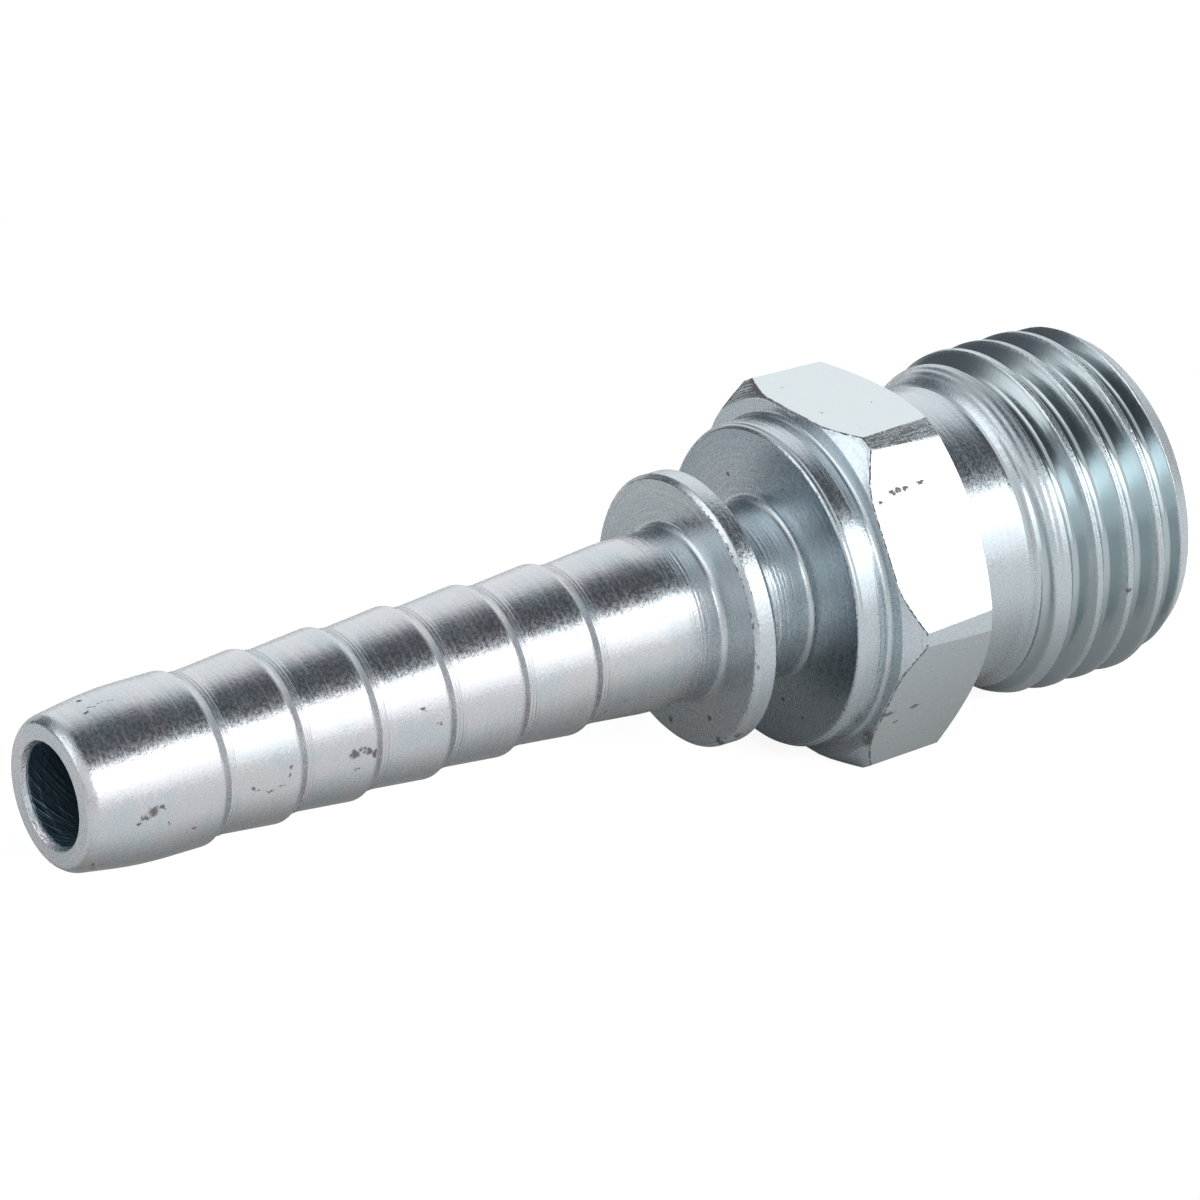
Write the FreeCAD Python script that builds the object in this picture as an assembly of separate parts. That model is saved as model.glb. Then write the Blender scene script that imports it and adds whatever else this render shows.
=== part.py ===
"""Hose connector: one turned steel piece with a barbed hose tail and a male metric thread.

The piece is modelled standing on its tail, with its axis along Z and z = 0 at the tail's end face,
and is then laid down: the axis comes to +X, and the bottom flat of the hexagon to the ground.
All lengths are millimetres and all angles degrees.
"""

import FreeCAD
import Part

import math
import os

Vector = FreeCAD.Vector

# Hose tail
tail_length = 28.15
tail_diameter = 6.8
tail_bore_diameter = 4.0
tail_end_diameter = 5.6
tail_end_round_depth = 0.32
tail_end_round_diameter = 6.06
lead_taper_length = 2.84
first_crest_length = 5.54
barb_count = 6
barb_depth = 0.25
barb_back_length = 0.64
tail_plain_length = 2.65
bore_mouth_chamfer = 0.12

# Each hollow fillet is turned in this many straight cuts
fillet_cuts = 2

# Ferrule flange, neck and collar
flange_diameter = 10.9
flange_thickness = 1.08
flange_edge_chamfer = 0.18
tail_fillet_radius = 0.45
neck_diameter = 6.9
neck_length = 3.02
neck_fillet_radius = 0.5
collar_diameter = 13.0
collar_length = 1.46
collar_edge_chamfer = 0.22
collar_fillet_radius = 0.45

# Hexagon
across_flats = 14.0
hexagon_length = 4.43
front_corner_diameter = 15.86
rear_corner_diameter = 15.62
front_face_diameter = 14.4
front_chamfer_angle = 45.0
rear_face_diameter = 13.7
rear_chamfer_angle = 60.0

# Relief and thread
relief_diameter = 11.86
relief_length = 2.66
thread_diameter = 14.0
thread_pitch = 1.5
thread_angle = 60.0
thread_crest_width = 0.375
thread_root_width = 0.23
thread_length = 7.49
thread_start_angle = 77.3
start_chamfer_angle = 45.0
end_face_diameter = 12.7
end_chamfer_angle = 30.0

# Coned tube socket in the threaded end
tube_diameter = 8.0
tube_radial_clearance = 0.1
socket_depth = 7.0
cone_mouth_diameter = 9.3
cone_full_angle = 24.0
drill_point_angle = 118.0


def tangent(angle):
    """Return the tangent of an angle in degrees."""
    return math.tan(math.radians(angle))


# Stations along the axis, counted from the tail's end face
flange_front = tail_length
flange_rear = flange_front + flange_thickness
collar_front = flange_rear + neck_length
hexagon_front = collar_front + collar_length
hexagon_rear = hexagon_front + hexagon_length
relief_end = hexagon_rear + relief_length
thread_end = relief_end + thread_length
barb_pitch = (tail_length - tail_plain_length - first_crest_length) / barb_count


class Outline:
    """A turned outline: half a section in the XZ plane, drawn as radius against length."""

    def __init__(self, length, radius):
        self.edges = []
        self.here = Vector(radius, 0, length)

    def line(self, length, radius):
        """Draw a straight line to the next point."""
        there = Vector(radius, 0, length)
        self.edges.append(Part.LineSegment(self.here, there).toShape())
        self.here = there

    def inner_corner(self, length, radius, fillet):
        """Turn from a cylinder into the face that rises from it, with a hollow fillet."""
        self.line(length - fillet, radius)
        for cut in range(1, fillet_cuts + 1):
            turn = math.radians(90 * cut / fillet_cuts)
            self.line(length - fillet * (1 - math.sin(turn)), radius + fillet * (1 - math.cos(turn)))

    def inner_start(self, length, radius, fillet):
        """Drop down a face and turn into the cylinder at its foot, with a hollow fillet."""
        self.line(length, radius + fillet)
        for cut in range(1, fillet_cuts + 1):
            turn = math.radians(90 * cut / fillet_cuts)
            self.line(length + fillet * (1 - math.cos(turn)), radius + fillet * (1 - math.sin(turn)))

    def revolve(self):
        """Close the outline and turn it about the axis into a solid."""
        first = self.edges[0].Vertexes[0].Point
        self.line(first.z, first.x)
        face = Part.Face(Part.Wire(self.edges))
        return face.revolve(Vector(0, 0, 0), Vector(0, 0, 1), 360)


def draw_tail(outline):
    """Draw the tail: a lead taper, barbs that hold against pulling off, and a plain run."""
    radius = tail_diameter / 2
    outline.line(0, tail_end_diameter / 2)
    outline.line(tail_end_round_depth, tail_end_round_diameter / 2)
    outline.line(lead_taper_length, radius)
    for barb in range(barb_count):
        crest = first_crest_length + barb * barb_pitch
        outline.line(crest, radius)
        outline.line(crest + barb_back_length, radius - barb_depth)
    outline.line(tail_length - tail_plain_length, radius)
    outline.inner_corner(flange_front, radius, tail_fillet_radius)


def draw_flange_and_collar(outline):
    """Draw the flange that stops the ferrule, the neck that it grips, and the collar."""
    flange = flange_diameter / 2
    collar = collar_diameter / 2
    outline.line(flange_front, flange - flange_edge_chamfer)
    outline.line(flange_front + flange_edge_chamfer, flange)
    outline.line(flange_rear - flange_edge_chamfer, flange)
    outline.line(flange_rear, flange - flange_edge_chamfer)
    outline.inner_start(flange_rear, neck_diameter / 2, neck_fillet_radius)
    outline.inner_corner(collar_front, neck_diameter / 2, neck_fillet_radius)
    outline.line(collar_front, collar - collar_edge_chamfer)
    outline.line(collar_front + collar_edge_chamfer, collar)
    outline.inner_corner(hexagon_front, collar, collar_fillet_radius)


def draw_hexagon_blank(outline):
    """Draw the round blank whose chamfered ends and turned corners the hexagon keeps."""
    front = front_corner_diameter / 2
    rear = rear_corner_diameter / 2
    face = front_face_diameter / 2
    rear_face = rear_face_diameter / 2
    outline.line(hexagon_front, face)
    outline.line(hexagon_front + (front - face) * tangent(front_chamfer_angle), front)
    outline.line(hexagon_rear - (rear - rear_face) / tangent(rear_chamfer_angle), rear)
    outline.line(hexagon_rear, rear_face)


def draw_thread_blank(outline):
    """Draw the relief and the blank that the thread's groove is cut into."""
    relief = relief_diameter / 2
    crest = thread_diameter / 2
    end = end_face_diameter / 2
    outline.line(hexagon_rear, relief)
    outline.line(relief_end, relief)
    outline.line(relief_end + (crest - relief) / tangent(start_chamfer_angle), crest)
    outline.line(thread_end - (crest - end) / tangent(end_chamfer_angle), crest)
    outline.line(thread_end, end)
    outline.line(thread_end, 0)


def make_turned_blank():
    """Return the solid as it leaves the lathe, before milling, threading and drilling."""
    outline = Outline(0, 0)
    draw_tail(outline)
    draw_flange_and_collar(outline)
    draw_hexagon_blank(outline)
    draw_thread_blank(outline)
    return outline.revolve()


def make_hexagon_waste():
    """Return the ring of metal that lies outside the six flats, over the hexagon's length."""
    outside = front_corner_diameter
    corner = across_flats / math.sqrt(3)
    points = []
    for index in range(7):
        angle = math.radians(60 * index)
        points.append(Vector(corner * math.cos(angle), corner * math.sin(angle), hexagon_front))
    prism = Part.Face(Part.makePolygon(points)).extrude(Vector(0, 0, hexagon_length))
    ring = Part.makeCylinder(outside, hexagon_length, Vector(0, 0, hexagon_front))
    return ring.cut(prism)


def make_thread_groove():
    """Return the helical groove: two straight flanks and a narrow root between them."""
    crest = thread_diameter / 2
    crest_half = (thread_pitch - thread_crest_width) / 2
    root_half = thread_root_width / 2
    root = crest - (crest_half - root_half) / tangent(thread_angle / 2)
    outer = crest + thread_crest_width / 2
    outer_half = crest_half + (outer - crest) * tangent(thread_angle / 2)
    section = Part.makePolygon([
        Vector(outer, 0, -outer_half),
        Vector(root, 0, -root_half),
        Vector(root, 0, root_half),
        Vector(outer, 0, outer_half),
        Vector(outer, 0, -outer_half),
    ])

    start = relief_end - thread_pitch / 2
    height = thread_end + thread_pitch / 2 - start
    start_angle = thread_start_angle - 360 * (relief_end - start) / thread_pitch
    path = Part.Wire(Part.makeLongHelix(thread_pitch, height, crest).Edges)
    groove = path.makePipeShell([section], True, True)
    groove.rotate(Vector(0, 0, 0), Vector(0, 0, 1), start_angle)
    groove.translate(Vector(0, 0, start))
    return groove


def make_passage():
    """Return the bore of the tail and the coned tube socket that it opens into."""
    bore = tail_bore_diameter / 2
    socket = tube_diameter / 2 + tube_radial_clearance
    mouth = cone_mouth_diameter / 2
    socket_floor = thread_end - socket_depth
    overrun = 1.0
    outline = Outline(-overrun, 0)
    outline.line(-overrun, bore + bore_mouth_chamfer)
    outline.line(0, bore + bore_mouth_chamfer)
    outline.line(bore_mouth_chamfer, bore)
    outline.line(socket_floor - (socket - bore) / tangent(drill_point_angle / 2), bore)
    outline.line(socket_floor, socket)
    outline.line(thread_end - (mouth - socket) / tangent(cone_full_angle / 2), socket)
    outline.line(thread_end, mouth)
    outline.line(thread_end + overrun, mouth)
    outline.line(thread_end + overrun, 0)
    return outline.revolve()


def lay_down(shape):
    """Turn the axis from +Z to +X and set the bottom flat on the ground, centred in length."""
    shape.rotate(Vector(0, 0, 0), Vector(1, 1, 1), 120)
    shape.translate(Vector(-thread_end / 2, 0, across_flats / 2))
    return shape


def make_connector():
    """Return the finished connector where it lies."""
    body = make_turned_blank()
    body = body.cut(make_hexagon_waste())
    body = body.cut(make_thread_groove())
    body = body.cut(make_passage())
    return lay_down(body)


os.makedirs("parts", exist_ok=True)
connector = make_connector()
if len(connector.Solids) != 1 or not connector.isValid():
    raise RuntimeError("the connector is not one valid solid")
connector.Solids[0].exportStep("parts/connector_body.step")
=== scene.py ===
"""Looks of a zinc-plated steel hose connector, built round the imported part.

The connector lies along X, from the barbed hose tail to the threaded end. The classes below hold its
sizes in millimetres: a place along the axis is counted from the tail's end face, a radius from the axis,
and an angle round the axis from +Y towards +Z, in degrees. They are brought to metres and to the part's
own place when the mesh is made.
"""

from __future__ import annotations

import logging
import math
from dataclasses import dataclass, field
from enum import Enum
from typing import Any, Sequence

import bmesh
import bpy
import numpy as np
from mathutils import Matrix, Vector

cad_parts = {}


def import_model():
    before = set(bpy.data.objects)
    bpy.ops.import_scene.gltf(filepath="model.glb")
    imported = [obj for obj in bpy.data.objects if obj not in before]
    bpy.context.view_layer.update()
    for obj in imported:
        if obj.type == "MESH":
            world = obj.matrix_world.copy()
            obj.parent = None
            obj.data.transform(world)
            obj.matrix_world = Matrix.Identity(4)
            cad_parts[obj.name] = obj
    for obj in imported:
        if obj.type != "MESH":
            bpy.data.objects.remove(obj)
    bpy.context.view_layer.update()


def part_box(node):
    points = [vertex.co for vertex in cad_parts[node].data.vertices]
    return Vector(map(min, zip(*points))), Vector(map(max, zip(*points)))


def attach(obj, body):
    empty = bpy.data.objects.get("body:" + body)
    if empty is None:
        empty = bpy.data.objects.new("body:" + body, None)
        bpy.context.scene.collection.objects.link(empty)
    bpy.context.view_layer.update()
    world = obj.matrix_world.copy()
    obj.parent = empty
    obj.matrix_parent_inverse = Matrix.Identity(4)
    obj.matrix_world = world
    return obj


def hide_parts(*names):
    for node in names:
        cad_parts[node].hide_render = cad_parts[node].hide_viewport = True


MM = 0.001
FULL_TURN = 360.0
NODE = "connector_body"
SLOT = "zinc_plated_steel"

log = logging.getLogger("hose_connector")


class Skin(Enum):
    """The surfaces that the finish tells apart, each stored on the mesh as a value from 0 to 1 per point."""

    DRAWN = "drawn"
    ROLLED = "rolled"
    # Real stains, and painted shade in the grooves between the hexagon's chamfer rings.
    STAINS_AND_PAINTED_SHADE = "stains_and_painted_shade"
    SCUFFED = "scuffed"
    # A real blue tint on the collar's face, darkened further as painted shade.
    BLUE_TINT_AND_PAINTED_SHADE = "blue_tint_and_painted_shade"


@dataclass(frozen=True)
class Bend:
    """One corner of a turned outline.

    Attributes:
        along: distance from the tail's end face.
        radius: distance from the axis.
        rounding: radius of the corner, 0 for one that stays sharp.
        steps: how many straight pieces the rounded corner is drawn in.
    """

    along: float
    radius: float
    rounding: float = 0.0
    steps: int = 2


@dataclass
class Rows:
    """A stretch of the surface: rows of points round the axis, one column per angle.

    Attributes:
        along: distance of each point from the tail's end face, rows by columns.
        radius: distance of each point from the axis, rows by columns.
        angle: angle of each point round the axis in degrees, rows by columns.
        skins: for each skin, how far it covers each point, rows by columns.
        climb: for rows that run along a thread, how many rows further on a row meets after a full turn.
    """

    along: np.ndarray
    radius: np.ndarray
    angle: np.ndarray
    skins: dict[Skin, np.ndarray] = field(default_factory=dict)
    climb: int = 0

    def skin(self, kind: Skin) -> np.ndarray:
        """Returns how far a skin covers each point, 0 where it isn't set."""
        return self.skins.get(kind, np.zeros_like(self.along))


@dataclass(frozen=True)
class Columns:
    """The angles at which every row has its points.

    Attributes:
        per_flat: how many columns each of the hexagon's sides has.
        sides: how many sides the hexagon has.
    """

    per_flat: int = 24
    sides: int = 6

    @property
    def count(self) -> int:
        """The number of columns all round."""
        return self.per_flat * self.sides

    @property
    def angles(self) -> np.ndarray:
        """The even angles of the turned rows, in degrees; column 0 lies at a corner of the hexagon."""
        return np.arange(self.count) * FULL_TURN / self.count

    @property
    def side(self) -> float:
        """The angle that one side of the hexagon takes up."""
        return FULL_TURN / self.sides

    def spread(self, rows: np.ndarray) -> np.ndarray:
        """Repeats one value per row over every column."""
        return np.repeat(np.asarray(rows, float)[:, None], self.count, axis=1)

    def repeated(self, rows: int) -> np.ndarray:
        """Returns the even angles once for each row."""
        return np.repeat(self.angles[None, :], rows, axis=0)


def unit(vectors: np.ndarray) -> np.ndarray:
    """Returns vectors of length one, the last axis holding their parts."""
    return vectors / np.maximum(np.linalg.norm(vectors, axis=-1, keepdims=True), 1e-12)


def hump(values: np.ndarray, middle: float, width: float) -> np.ndarray:
    """Returns a smooth hump that is 1 in its middle and fades over its width."""
    return np.exp(-(((values - middle) / width) ** 2))


def round_corners(corners: np.ndarray, rounding: Sequence[float], steps: Sequence[int]) -> np.ndarray:
    """Rounds the corners of an outline, each column by itself.

    Each rounded corner becomes an arc. Where a long straight stretch meets a corner, one more row lies
    close to it, so that the shading of the stretch stays straight.

    Args:
        corners: the outline's corners, corners by columns by (along, radius).
        rounding: radius of each corner.
        steps: pieces in each corner's arc.

    Returns:
        The rounded outline, rows by columns by (along, radius).
    """
    support = 0.05  # distance of the extra row from the corner
    long = 0.3  # a sharp corner's stretch that is longer than this gets one
    share = 0.45  # most of a stretch that an arc takes up
    rows = [corners[0]]
    for k in range(1, len(corners) - 1):
        here = corners[k]
        into, out = here - corners[k - 1], corners[k + 1] - here
        lengths = np.linalg.norm(into, axis=-1), np.linalg.norm(out, axis=-1)
        shorter = np.minimum(*lengths)[:, None]
        into, out = unit(into), unit(out)
        if rounding[k] <= 0:
            if lengths[0].min() > long:
                rows.append(here - into * support)
            rows.append(here)
            if lengths[1].min() > long:
                rows.append(here + out * support)
            continue
        cosine = np.clip((into * out).sum(-1, keepdims=True), -1, 1)
        weight = np.sqrt((1 + cosine) / 2)
        reach = rounding[k] * np.sqrt(np.maximum(1 - weight**2, 0)) / np.maximum(weight, 1e-6)
        reach = np.minimum(reach, shorter * share)
        before, beyond = (np.minimum(support, (length[:, None] * 0.5 - reach) * 0.8) for length in lengths)
        start, end = here - into * reach, here + out * reach
        rows.append(start - into * before)
        for t in np.linspace(0, 1, steps[k] + 1):
            parts = ((1 - t) ** 2, 2 * weight * t * (1 - t), t**2)
            rows.append((parts[0] * start + parts[1] * here + parts[2] * end) / sum(parts))
        rows.append(end + out * beyond)
    rows.append(corners[-1])
    return np.array(rows)


def turned_rows(bends: Sequence[Bend], columns: Columns) -> Rows:
    """Turns an outline about the axis.

    Args:
        bends: the outline's corners in order.
        columns: the angles of the points.

    Returns:
        The turned surface.
    """
    corners = np.array([[(b.along, b.radius)] for b in bends], float)
    points = round_corners(corners, [b.rounding for b in bends], [b.steps for b in bends])[:, 0]
    return Rows(columns.spread(points[:, 0]), columns.spread(points[:, 1]), columns.repeated(len(points)))


def ridge(start: float, width: float, foot: float, height: float) -> list[Bend]:
    """Draws one rounded ridge of a turned surface.

    Args:
        start: where it starts along the axis.
        width: its width.
        foot: radius at its foot.
        height: its height.

    Returns:
        The ridge's bends, without the foot behind it.
    """
    half = foot + height / 2
    return [
        Bend(start, foot),
        Bend(start + 0.25 * width, half),
        Bend(start + 0.5 * width, foot + height),
        Bend(start + 0.75 * width, half),
    ]


def ridged_run(start: float, end: float, radius: float, pitch: float, height: float, seed: int) -> list[Bend]:
    """Draws a cylinder's stretch with the uneven ridges that a turning tool leaves.

    Args:
        start: where the stretch starts along the axis.
        end: where it ends.
        radius: radius at the foot of the ridges.
        pitch: mean distance from ridge to ridge.
        height: mean height of a ridge.
        seed: start of the random draws.

    Returns:
        The stretch's bends.
    """
    draw = np.random.default_rng(seed)
    count = max(1, round((end - start) / pitch))
    widths = draw.uniform(0.7, 1.3, count)
    widths *= (end - start) / widths.sum()
    bends = []
    for width in widths:
        bends += ridge(start, width, radius, height * draw.uniform(0.3, 1.7))
        start += width
    bends.append(Bend(end, radius))
    return bends


def smooth_least(a: np.ndarray, b: np.ndarray, blend: float) -> np.ndarray:
    """Returns the lesser of two radii, blended where they are close, which rounds the edge between them."""
    h = np.clip(0.5 + 0.5 * (b - a) / blend, 0, 1)
    return b + (a - b) * h - blend * h * (1 - h)


@dataclass
class HoseTail:
    """The barbed end that the hose is pushed over.

    Attributes:
        length: from the end face to the flange.
        crest: radius over the barbs.
        bore: radius of the passage.
        mouth_chamfer: how much wider the bore's mouth is, in radius.
        mouth_depth: depth of the cone at the bore's mouth.
        end_radius: outer radius of the flat end face.
        rim_radius: radius at which the rounded rim runs into the lead taper.
        rim_depth: where it does so.
        taper_length: from the end face to the end of the lead taper.
        barbs: number of barbs.
        first_crest: where the first barb's edge lies.
        plain: length of the plain run before the flange.
        drop: depth of the step behind each barb.
        shoulder: length of a barb's rounded shoulder.
        shoulder_rounding: radius of that shoulder.
        tool_marks: width, foot and height of each mark behind a shoulder, with the foot counted from
            the step's depth.
        valley_lift: how far the step's depth has lessened behind those marks.
        fillet: length that the plain run leaves to the fillet at the flange.
        ridge_start: where the turning ridges before the flange start.
        ridge_pitch: their mean distance.
        ridge_height: their mean height.
    """

    length: float = 28.15
    crest: float = 3.4
    bore: float = 2.0
    mouth_chamfer: float = 0.13
    mouth_depth: float = 0.28
    end_radius: float = 2.8
    rim_radius: float = 3.03
    rim_depth: float = 0.32
    taper_length: float = 2.84
    barbs: int = 6
    first_crest: float = 5.54
    plain: float = 2.65
    drop: float = 0.25
    shoulder: float = 0.45
    shoulder_rounding: float = 0.4
    tool_marks: tuple[tuple[float, float, float], ...] = (
        (0.14, 0.0, 0.036),
        (0.14, 0.008, 0.034),
        (0.18, 0.018, 0.012),
    )
    valley_lift: float = 0.026
    fillet: float = 0.65
    ridge_start: float = 26.85
    ridge_pitch: float = 0.16
    ridge_height: float = 0.007

    @property
    def barb_pitch(self) -> float:
        """Distance from one barb's edge to the next."""
        return (self.length - self.plain - self.first_crest) / self.barbs

    def end_face(self) -> list[Bend]:
        """Draws the rim.

        Returns:
            The bends from the mouth of the bore to the end of the lead taper.
        """
        return [
            Bend(self.mouth_depth, self.bore, 0.1),
            Bend(0.0, self.bore + self.mouth_chamfer, 0.04),
            Bend(0.0, self.end_radius, 0.24, 5),
            Bend(self.rim_depth, self.rim_radius, 0.8, 4),
            Bend(self.taper_length, self.crest, 20.0, 8),
        ]

    def barb(self, edge: float) -> list[Bend]:
        """Draws one barb.

        Args:
            edge: where its shoulder starts along the axis.

        Returns:
            The rounded shoulder, the step and the tool's marks at the foot of the step.
        """
        place = edge + self.shoulder
        valley = self.crest - self.drop
        bends = [Bend(edge, self.crest, self.shoulder_rounding, 4)]
        for width, lift, height in self.tool_marks:
            bends += ridge(place, width, valley + lift, height)
            place += width
        bends.append(Bend(place, valley + self.valley_lift))
        return bends

    def outline(self) -> list[Bend]:
        """Draws the tail.

        Returns:
            The bends from the mouth of the bore to the foot of the flange.
        """
        bends = self.end_face()
        for k in range(self.barbs):
            bends += self.barb(self.first_crest + k * self.barb_pitch)
        bends.append(Bend(self.length - self.plain, self.crest, 4.0, 1))
        end = self.length - self.fillet
        bends += ridged_run(self.ridge_start, end, self.crest, self.ridge_pitch, self.ridge_height, seed=3)
        return bends


@dataclass
class FlangeAndCollar:
    """The flange that stops the ferrule, the neck that it grips, and the collar before the hexagon.

    Attributes:
        start: where the flange's front face lies.
        tail: radius of the tail's plain run.
        tail_fillet: radius of the fillet between the tail and the flange.
        flange: radius of the flange.
        thickness: thickness of the flange.
        edge: size of the broken edges of the flange.
        face_rings: offset and height of each low ring on the flange's front face.
        ring_width: width of such a ring.
        neck: radius of the neck.
        neck_length: from the flange to the collar.
        neck_fillet: radius of the fillets at both ends of the neck.
        collar: radius of the collar.
        collar_length: from its face to the hexagon.
        collar_edge: size of the collar's broken edge.
        hexagon_fillet: radius of the fillet between the collar and the hexagon.
        ridges_before: where the ridges on the collar start, counted back from the hexagon.
    """

    start: float = 28.15
    tail: float = 3.4
    tail_fillet: float = 0.85
    flange: float = 5.45
    thickness: float = 1.08
    edge: float = 0.18
    face_rings: tuple[tuple[float, float], ...] = ((0.0, 0.004), (0.14, 0.006), (0.34, 0.004))
    ring_width: float = 0.12
    neck: float = 3.45
    neck_length: float = 3.02
    neck_fillet: float = 0.55
    collar: float = 6.5
    collar_length: float = 1.46
    collar_edge: float = 0.2
    hexagon_fillet: float = 0.45
    ridges_before: float = 0.85

    @property
    def end(self) -> float:
        """Where the hexagon's front face lies."""
        return self.start + self.thickness + self.neck_length + self.collar_length

    def outline(self) -> list[Bend]:
        """Draws the flange, the neck and the collar.

        Returns:
            The bends from the tail's fillet to the fillet at the hexagon.
        """
        rear = self.start + self.thickness
        face = rear + self.neck_length
        clear = 0.1  # what the ridges on the neck leave free beside its fillets
        foot, top = rear + self.neck_fillet + clear, face - self.neck_fillet - clear
        bends = [
            Bend(self.start, self.tail, self.tail_fillet, 7),
            *self.rings(),
            Bend(self.start, self.flange - self.edge, 0.05, 1),
            Bend(self.start + self.edge, self.flange, 0.07, 2),
            Bend(rear - self.edge, self.flange, 0.07, 2),
            Bend(rear, self.flange - self.edge, 0.05, 1),
            Bend(rear, self.neck, self.neck_fillet, 6),
        ]
        bends += ridged_run(foot, top, self.neck, pitch=0.17, height=0.0045, seed=8)
        bends += [
            Bend(face, self.neck, self.neck_fillet, 7),
            Bend(face, self.collar - self.collar_edge, 0.05, 1),
            Bend(face + self.collar_edge * 0.45, self.collar - self.collar_edge * 0.4),
            Bend(face + self.collar_edge * 0.6, self.collar - self.collar_edge * 0.42),
            Bend(face + self.collar_edge * 1.2, self.collar, 0.06, 1),
        ]
        first, last = self.end - self.ridges_before, self.end - self.hexagon_fillet - 0.05
        bends += ridged_run(first, last, self.collar, pitch=0.12, height=0.007, seed=5)
        bends.append(Bend(self.end, self.collar, self.hexagon_fillet, 6))
        return bends

    def rings(self) -> list[Bend]:
        """Draws the low rings that the turning tool left on the flange's front face.

        Returns:
            The rings' bends, from the innermost one outwards.
        """
        innermost = self.tail + self.tail_fillet + self.ring_width
        bends = []
        for offset, height in self.face_rings:
            radius = innermost + offset
            bends.append(Bend(self.start, radius))
            bends.append(Bend(self.start - height, radius + self.ring_width / 2))
            bends.append(Bend(self.start, radius + self.ring_width))
        return bends


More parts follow.
